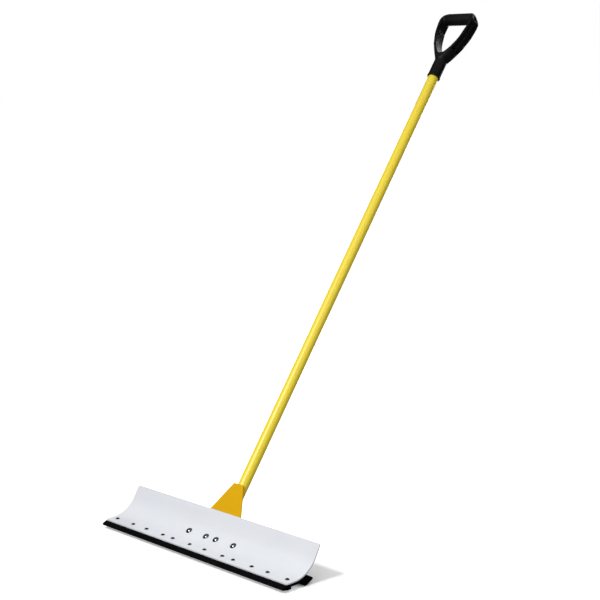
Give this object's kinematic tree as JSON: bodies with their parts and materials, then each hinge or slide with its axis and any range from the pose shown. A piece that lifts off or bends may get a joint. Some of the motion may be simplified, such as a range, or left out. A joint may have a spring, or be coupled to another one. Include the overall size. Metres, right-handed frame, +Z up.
{
  "type": "snow pusher",
  "caption": "Push shovel for snow with a curved plastic blade on a rubber wear shoe, a flared steel bracket, a long tube handle and a moulded D-grip.",
  "frame": {"origin": "middle of the D-grip's hand bar, where a hand holds the shovel, in the plane of symmetry", "axes": "+X towards the blade's right end as seen from the front, +Y back towards the handle, +Z up"},
  "size_m": [0.61, 0.9939, 1.2369],
  "materials": {
    "blade_plastic": "satin",
    "shoe_rubber": "matt",
    "yellow_paint": "gloss powder coat",
    "grip_plastic": "fine texture",
    "plug_plastic": "satin",
    "zinc_steel": "bright zinc",
    "dark_steel": "dark zinc",
    "nylon": "satin"
  },
  "bodies": {
    "root": {"blade": "blade_plastic", "wear_shoe": "shoe_rubber", "shoe_screws": "dark_steel", "shoe_washers": "zinc_steel", "shoe_lock_nuts": "zinc_steel", "shoe_nut_inserts": "nylon", "handle_bracket": "yellow_paint", "bracket_bolts": "zinc_steel", "bracket_washers": "zinc_steel", "bracket_lock_nuts": "zinc_steel", "bracket_nut_inserts": "nylon", "handle_tube": "yellow_paint", "weld_beads": "yellow_paint", "tube_end_plug": "plug_plastic", "d_grip": "grip_plastic", "grip_screw": "zinc_steel"}
  },
  "joints": []
}
